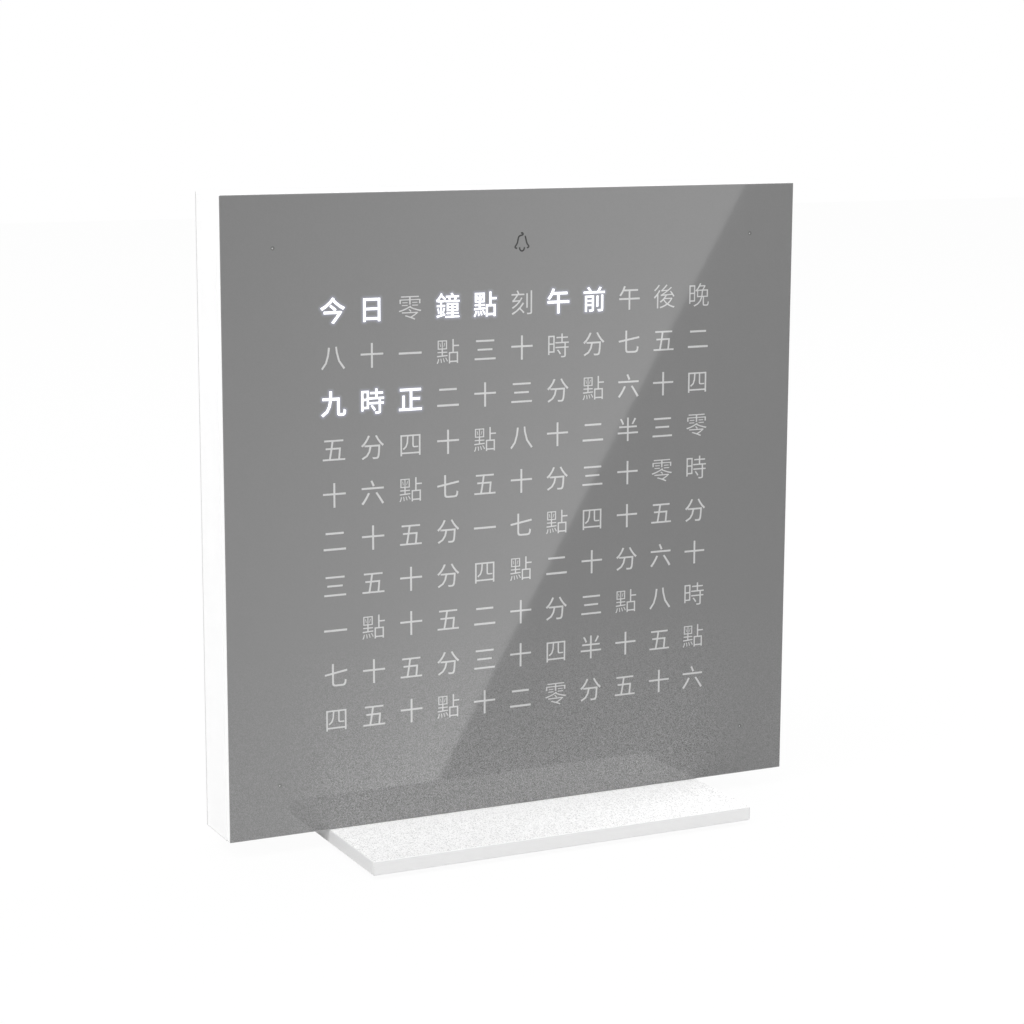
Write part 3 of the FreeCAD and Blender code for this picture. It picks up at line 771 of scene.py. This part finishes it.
# Painted light: a glitter of lighter and darker specks toward the foot, as light from the foot's
# top.
painted_glitter_share = maths(tree, "MULTIPLY", graded(tree, axes["Z"], *glitter_toward_foot),
              graded(tree, off_middle, *glitter_beside_foot, 1.0, glitter_share_beside_foot))
glitter_specks = speckle(tree, place, size=0.135, detail=0.5)
painted_glitter = tinted(tree, glitter_specks, shade(face_grey, 0.46), shade(face_grey, 1.69), start=0.27,
              end=0.73)
# Painted shade: a grey hairline along the plate's lower edge, just above the floor.
shaded_lower_edge = hairline(tree, axes["Z"], cover_low.z, shade_line_above_floor)
plate_white_and_shade = over(tree, shaded_lower_edge, grey(0.95), edge_shade_grey)
behind = graded(tree, axes["Y"], *grey_ends)
skin_colour = over(tree, behind, over(tree, painted_glitter_share, clear_grey, painted_glitter), plate_white_and_shade)
fill(tree, shader, {"Base Color": skin_colour})
dress("front_cover", lacquer)


# ---- Characters on the face ----------------------------------------------------------
# Numerals and units of time in a plain sans type, 11 across and 10 down, cut through the
# lacquer to the white plate. The lit ones, read in turn, tell the half of the day and the hour.
character_rows = (
    "今日零鐘點刻午前午後晚",
    "八十一點三十時分七五二",
    "九時正二十三分點六十四",
    "五分四十點八十二半三零",
    "十六點七五十分三十零時",
    "二十五分一七點四十五分",
    "三五十分四點二十分六十",
    "一點十五二十分三點八時",
    "七十五分三十四半十五點",
    "四五十點十二零分五十六",
)
lit_columns = {0: (0, 1, 3, 4, 6, 7), 2: (0, 1, 2)}
column_step = 8.677
row_step = 9.640
first_column = -43.24
first_row = 43.35
type_size = 5.7
type_middle = Vector((2.87, 2.16))
type_front = face_y - 0.012 * mm
type_back = face_y + 0.1 * mm
thinner = 0.015
dense_ink = 0.20
thinner_by_ink = 0.25


def strokes(character, growth=0.0):
    """The filled outline of a character in millimetres, about its middle. Its strokes are
    wider by growth on each side."""
    curve = bpy.data.curves.new("strokes", "FONT")
    curve.body = character
    curve.size = type_size
    curve.offset = growth
    curve.resolution_u = 3
    curve.dimensions = "2D"
    curve.fill_mode = "BOTH"
    holder = put_in_scene("strokes", curve)
    mesh = mesh_of(holder)
    points = [v.co.xy - type_middle for v in mesh.vertices]
    faces = [tuple(f.vertices) for f in mesh.polygons]
    bpy.data.objects.remove(holder)
    bpy.data.meshes.remove(mesh)
    return points, faces


def sides_of(face):
    """The sides of a face, each as the two corners it runs between."""
    return zip(face, face[1:] + face[:1])


def rim(faces):
    """The edges that have only one face, in that face's direction."""
    found = {}
    for face in faces:
        for a, b in sides_of(face):
            found.setdefault((min(a, b), max(a, b)), []).append((a, b))
    return [held[0] for held in found.values() if len(held) == 1]


def slab(drawings, front, back):
    """Closed slabs from flat drawings: corners in metres, and faces. A drawing is
    (points, faces, middle), in millimetres right of and above the middle of the face."""
    corners, sides = [], []
    for points, faces, middle in drawings:
        start, count = len(corners), len(points)
        for y in (front, back):
            for p in points:
                corners.append(((p.x + middle[0]) * mm, y,
                                face_middle + (p.y + middle[1]) * mm))
        sides += [tuple(start + i for i in face) for face in faces]
        sides += [tuple(start + count + i for i in reversed(face)) for face in faces]
        for a, b in rim(faces):
            sides.append((start + a, start + a + count, start + b + count, start + b))
    return corners, sides


def ink(character):
    """The share of a square as high as the type that the character's strokes cover."""
    points, faces = outlines[character]
    area = 0.0
    for face in faces:
        for a, b in sides_of(face):
            area += (points[a].x * points[b].y - points[b].x * points[a].y) / 2
    return abs(area) / type_size ** 2


outlines = {c: strokes(c) for c in sorted(set("".join(character_rows)))}
thinning = {c: -thinner - thinner_by_ink * max(0.0, ink(c) - dense_ink) for c in outlines}
thin_outlines = {c: strokes(c, thinning[c]) for c in outlines}
unlit, lit = [], []
for row, line in enumerate(character_rows):
    for column, character in enumerate(line):
        middle = (first_column + column * column_step, first_row - row * row_step)
        group = lit if column in lit_columns.get(row, ()) else unlit
        group.append((character, middle))

pale_type = polished("pale_type", grey(0.62), cloud=0.03)[0]
corners, faces = slab([(*thin_outlines[c], middle) for c, middle in unlit],
                      type_front, type_back)
unlit_type = new_piece("unlit_characters", corners, faces, pale_type)
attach(unlit_type, "cover")


# ---- Lit characters ------------------------------------------------------------------
# Nine characters have their lamps on. Their light spreads a little in the plate, so their
# strokes look heavier, with round ends and a narrow bluish glow in the lacquer around them.
light_spread = 0.105
less_by_ink = 0.28
least_spread = 0.01
glow_rings = ((0.07, 0.39, (0.70, 0.74, 1.0)), (0.22, 0.155, (0.66, 0.70, 1.0)),
              (0.42, 0.078, (0.68, 0.73, 1.0)), (0.68, 0.022, (0.70, 0.75, 1.0)))
lit_proud = 0.036
ring_step = 0.006


def within(point, lines):
    """True if the point lies inside the closed lines, by counting crossings."""
    inside = False
    for a, b in lines:
        if (a.y > point.y) != (b.y > point.y):
            if point.x < a.x + (point.y - a.y) * (b.x - a.x) / (b.y - a.y):
                inside = not inside
    return inside


def filled(points, edges, shapes):
    """Triangles that cover the closed edges and the convex shapes, merged."""
    triangles_only, nearness, keep_owners = 1, 1e-6, True
    found = delaunay_2d_cdt(points, edges, shapes, triangles_only, nearness, keep_owners)
    corners, triangles, all_owners = found[0], found[2], found[5]
    lines = [(points[a], points[b]) for a, b in edges]
    faces = []
    for face, owners in zip(triangles, all_owners):
        middle = sum((corners[i] for i in face), Vector((0, 0))) / len(face)
        if (shapes and owners) or within(middle, lines):
            faces.append(tuple(face))
    return corners, faces


def widened(points, faces, spread, sides=12):
    """A drawing whose strokes are wider by spread on each side, with round corners."""
    edges = rim(faces)
    corners = list(points)
    shapes = []
    for a, b in edges:
        run = (points[b] - points[a]).normalized() * spread
        out = Vector((run.y, -run.x))
        start = len(corners)
        corners += [points[a] + out, points[b] + out, points[b] - out, points[a] - out]
        shapes.append([start, start + 1, start + 2, start + 3])
    for i in sorted({i for edge in edges for i in edge}):
        start = len(corners)
        for side in range(sides):
            angle = 2 * math.pi * (side + 0.5) / sides
            corners.append(points[i] + spread * Vector((math.cos(angle), math.sin(angle))))
        shapes.append(list(range(start, start + sides)))
    merged, merged_faces = filled(corners, edges, shapes)
    border = rim(merged_faces)
    kept = sorted({i for edge in border for i in edge})
    place_of = {old: new for new, old in enumerate(kept)}
    return filled([merged[i] for i in kept],
                  [(place_of[a], place_of[b]) for a, b in border], [])


def lit_layer(name, halo, proud, finish):
    """All lit characters as slabs that stand proud of the face. Their strokes are widened by
    what the light spreads, less in a dense character, and by the halo."""
    drawings = []
    for character, middle in lit:
        spread = max(least_spread, light_spread - less_by_ink * ink(character)) + halo
        drawings.append((*widened(*outlines[character], spread), middle))
    corners, faces = slab(drawings, face_y - proud * mm, type_back)
    layer = new_piece(name, corners, faces, finish)
    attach(layer, "cover")
    return layer


def glowing(name, colour, light, strength):
    """Polished skin over something that gives off light."""
    material, tree, shader = polished(name, colour)[:3]
    fill(tree, shader, {"Emission Color": light, "Emission Strength": strength})
    return material


lit_white = glowing("lit_type", grey(0.9), light=(0.95, 0.97, 1.0), strength=0.9)
for count, (halo, strength, light) in enumerate(glow_rings, 1):
    ring_finish = glowing("glow_ring_%d" % count, face_grey, light, strength)
    ring = lit_layer("glow_%d" % count, halo, lit_proud - ring_step * (count + 1), ring_finish)
lit_type = lit_layer("lit_characters", 0.0, lit_proud, lit_white)


# ---- Light on the diffuser -----------------------------------------------------------
# Behind each lit character its lamp's light shows on the opal film, brightest over the lamp
# and ending at the walls of its chamber. It can be seen when the front cover is pulled off.
film_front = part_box("diffuser_sheet")[0].y
patch_outline = rounded(half_x=3.9, half_y=4.4, corner=0.6, count=5)
patch_points = [Vector(point) for point in patch_outline]
patch_face = [tuple(range(len(patch_points)))]
film_light, tree, shader, place = film("lit_film", (0.80, 0.80, 0.79), (0.77, 0.77, 0.76),
                                       (0.82, 0.82, 0.81))
fading = graded(tree, from_lamp(tree, place), start=0.8 * mm, end=5.0 * mm, low=0.42, high=0.06)
fill(tree, shader, {"Emission Color": (0.95, 0.97, 1.0), "Emission Strength": fading})
corners, faces = slab([(patch_points, patch_face, middle) for character, middle in lit],
                      front=film_front - 0.02 * mm, back=film_front + 0.1 * mm)
film_patches = new_piece("light_on_film", corners, faces, film_light)
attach(film_patches, "clock_body")


# ---- Minute dots ---------------------------------------------------------------------
# Four small round windows near the corners of the face count the single minutes. Each is a
# shallow countersunk hole in the lacquer with the white plate at its bottom. Its rim is
# painted darker, as the shade in the hole, and the pale window sits off its middle so that
# this painted shade shows as a crescent at the upper right.
dots_right, dots_up = 56.25, 56.42
dots_middle = (0.07 * mm, 0, face_middle + 0.12 * mm)
dot_radius = 0.16
rim_radius = 0.42
shadow_crescent_shift = (-0.07, -0.03)
dot_sides = 24


def disc(name, outer, inner, finish):
    """A thin round slab of the face about the origin, from its radius in millimetres. With an
    inner radius it is a ring. The ring's hole, or the slab, is off the middle by the shift."""
    if inner:
        rows = [(outer, (0, 0), type_front), (outer, (0, 0), type_back),
                (inner, shadow_crescent_shift, type_back), (inner, shadow_crescent_shift, type_front)]
    else:
        rows = [(outer, shadow_crescent_shift, type_front), (outer, shadow_crescent_shift, type_back)]
    points = []
    for radius, (right, up), y in rows:
        for side in range(dot_sides):
            angle = 2 * math.pi * side / dot_sides
            points.append(((radius * math.cos(angle) + right) * mm, y,
                           (radius * math.sin(angle) + up) * mm))
    return new_piece(name, points, skin(len(rows), dot_sides, ring=bool(inner)), finish)


# Painted shade: the rim is darker than the face, as the shade inside the hole.
dot_rim_shade = polished("dot_rim_shade", shade(face_grey, 0.66))[0]
dot_pale = polished("dot_window", grey(0.55), cloud=0.03)[0]
for name, slot, outer, inner, finish in (
        ("dot_rims", "face_lacquer", rim_radius, dot_radius, dot_rim_shade),
        ("minute_dots", "opal_film", dot_radius, 0.0, dot_pale)):
    dots = made_by(copies_on_grid, disc(name, outer, inner, finish), Finish=finish, Columns=2,
                   Rows=2, Turn=face_on, Width=2 * dots_right * mm, Height=2 * dots_up * mm,
                   Middle=dots_middle)
    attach(dots, "cover")


# ---- Alarm symbol --------------------------------------------------------------------
# A small bell above the characters, printed as a thin dark line with gaps. Each line is a
# smooth path with a flat ribbon swept along it.
bell_rise = 56.2
bell_scale = 0.94
line_width = 0.33
line_thickness = 0.03
bell_lines = (
    ((-1.16, -1.36), (-1.56, -1.34), (-1.72, -1.02), (-1.34, -0.62), (-1.05, -0.05),
     (-0.95, 0.50), (-0.80, 1.20), (-0.34, 1.52), (0.16, 1.56), (0.40, 1.78), (0.12, 2.16),
     (-0.20, 1.98)),
    ((0.86, 1.38), (1.05, 0.68), (1.20, 0.00), (1.42, -0.56), (1.80, -0.86), (1.72, -1.26),
     (1.30, -1.32)),
    ((-0.56, -1.17), (-0.50, -1.76), (0.05, -2.08), (0.60, -1.76), (0.69, -1.17)),
)
ribbon, given = geometry_tree("ribbon_on_lines", Lines="Geometry", Width="Float",
                              Thickness="Float", Finish="Material")
level = add_node(ribbon, "GeometryNodeSetCurveNormal", {"Curve": given["Lines"]}, mode="Z_UP")
section = add_node(ribbon, "GeometryNodeCurvePrimitiveQuadrilateral",
                   {"Width": given["Width"], "Height": given["Thickness"]})
swept = add_node(ribbon, "GeometryNodeCurveToMesh", {
    "Curve": level.outputs[0], "Profile Curve": section.outputs[0], "Fill Caps": True})
end_tree(ribbon, swept, given["Finish"])

dark_print = polished("dark_print", grey(0.018), cloud=0.05)[0]
bell_curve = bpy.data.curves.new("bell_symbol", "CURVE")
bell_curve.dimensions = "3D"
bell_curve.resolution_u = 6
for line in bell_lines:
    spline = bell_curve.splines.new("NURBS")
    spline.points.add(len(line) - 1)
    for point, (x, y) in zip(spline.points, line):
        point.co = (x * bell_scale, y * bell_scale, 0, 1)
    spline.order_u = 3
    spline.use_endpoint_u = True
bell = made_by(ribbon, put_in_scene("bell_symbol", bell_curve), Width=line_width,
               Thickness=line_thickness, Finish=dark_print)
to_face = Matrix.Translation((0, face_y, face_middle + bell_rise * mm))
bell.data.transform(to_face @ upright @ Matrix.Scale(mm, 4))
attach(bell, "cover")
